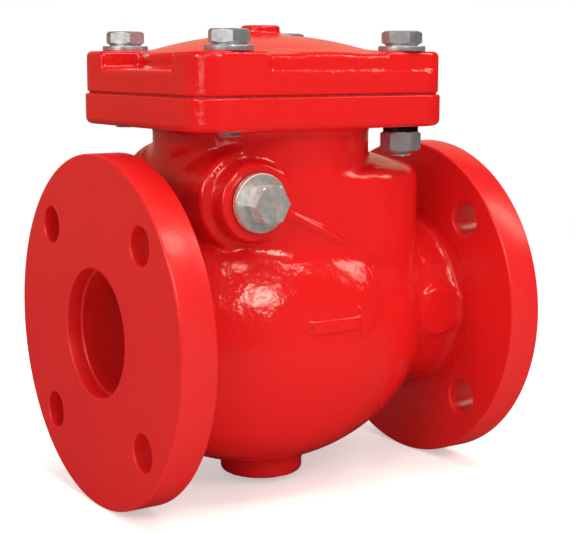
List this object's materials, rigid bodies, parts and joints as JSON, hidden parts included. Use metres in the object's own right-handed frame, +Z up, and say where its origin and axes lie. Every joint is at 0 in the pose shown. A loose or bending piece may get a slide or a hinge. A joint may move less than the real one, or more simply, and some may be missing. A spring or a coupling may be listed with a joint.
{
  "type": "flanged swing check valve",
  "caption": "Flanged swing check valve: a cast body with a bolted top cover, and a hinged clapper that lets water through one way only.",
  "frame": {"origin": "centre of the inlet flange's face, on the waterway's axis", "axes": "+X along the waterway in the direction of flow, +Z up towards the cover, +Y to the left of the flow"},
  "size_m": [0.216, 0.178, 0.241],
  "materials": {
    "red_paint": "gloss",
    "steel": "zinc plated",
    "bright_steel": "machined",
    "dark_steel": "oiled",
    "bronze": "machined",
    "rubber": "matt",
    "fibre": "matt"
  },
  "bodies": {
    "housing": {"body_casting": "red_paint", "seat_ring": "bronze", "cover_gasket": "fibre", "cover": "red_paint", "tapped_bolts": "steel", "through_bolts": "steel", "bolt_washers": "steel", "lock_washers": "dark_steel", "cover_nuts": "steel", "hinge_pin": "bright_steel", "hinge_bush_front": "bronze", "hinge_bush_rear": "bronze", "plug_seal_front": "fibre", "plug_seal_rear": "fibre", "side_plug_front": "bright_steel", "side_plug_rear": "bright_steel", "thrust_washer_front": "bronze", "thrust_washer_rear": "bronze"},
    "arm": {"clapper_arm": "steel", "arm_bush": "bronze"},
    "disc": {"clapper_disc": "bright_steel", "disc_facing": "rubber", "facing_clamp": "bright_steel", "clamp_screws": "steel", "stem_washer": "steel", "stem_nut": "steel", "cotter_pin": "bright_steel"}
  },
  "joints": [
    {"name": "arm_swing", "type": "hinge", "parent": "housing", "child": "arm", "pos_m": [0.062, 0, 0.0665], "axis": [0, -1, 0], "range_deg": [0, 65]},
    {"name": "disc_spin", "type": "hinge", "parent": "arm", "child": "disc", "pos_m": [0.08, 0, 0], "axis": [1, 0, 0], "continuous": true}
  ]
}
